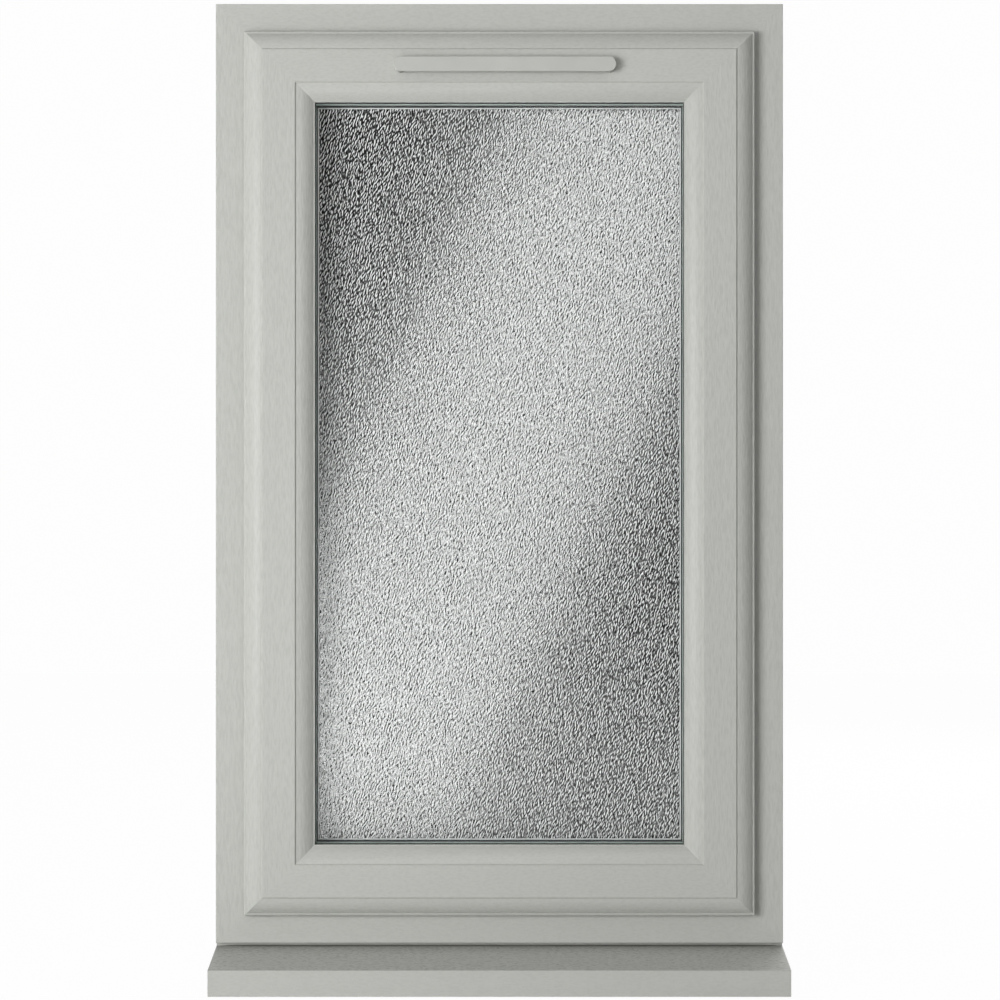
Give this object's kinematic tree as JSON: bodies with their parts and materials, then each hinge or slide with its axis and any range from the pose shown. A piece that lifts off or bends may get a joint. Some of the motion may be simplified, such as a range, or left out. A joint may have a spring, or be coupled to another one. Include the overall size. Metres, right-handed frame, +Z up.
{
  "type": "top-hung window",
  "caption": "Top-hung casement window in grey woodgrain plastic, lipped moulded sash with stippled privacy glass, trickle vent canopy, room-side handle and projecting sloped cill.",
  "frame": {"origin": "middle of the cill's underside, where it beds on the wall, halfway through the depth of the frame", "axes": "+X to the right as seen from outside, +Y into the room, +Z up"},
  "size_m": [0.61, 0.166, 1.0527],
  "materials": {
    "grey_foil": "rigid PVC extrusion under a matt agate-grey woodgrain foil",
    "grey_plastic": "moulded plastic in the same grey, smooth and satin",
    "black_rubber": "black rubber seal",
    "clear_glass": "clear float glass",
    "stippled_glass": "stippled privacy glass",
    "spacer_aluminium": "mill-finish aluminium",
    "grey_enamel": "die-cast metal, satin grey enamel",
    "stay_steel": "stainless steel strip"
  },
  "bodies": {
    "root": {"frame_left_jamb": "grey_foil", "frame_right_jamb": "grey_foil", "frame_head": "grey_foil", "frame_bottom_rail": "grey_foil", "sash_left_stile": "grey_foil", "sash_right_stile": "grey_foil", "sash_top_rail": "grey_foil", "sash_bottom_rail": "grey_foil", "glazing_bead_left": "grey_foil", "glazing_bead_right": "grey_foil", "glazing_bead_top": "grey_foil", "glazing_bead_bottom": "grey_foil", "cill": "grey_foil", "cill_end_cap_left": "grey_plastic", "cill_end_cap_right": "grey_plastic", "vent_canopy": "grey_plastic", "vent_body": "grey_plastic", "vent_flap": "grey_plastic", "frame_gasket": "black_rubber", "sash_gasket": "black_rubber", "outer_glazing_gasket": "black_rubber", "bead_gasket": "black_rubber", "outer_pane": "clear_glass", "inner_pane": "stippled_glass", "spacer_bar": "spacer_aluminium", "handle_plate": "grey_enamel", "handle_lever": "grey_enamel", "stay_track_left": "stay_steel", "stay_long_arm_left": "stay_steel", "stay_short_arm_left": "stay_steel", "stay_bar_left": "stay_steel", "stay_track_right": "stay_steel", "stay_long_arm_right": "stay_steel", "stay_short_arm_right": "stay_steel", "stay_bar_right": "stay_steel"}
  },
  "joints": []
}
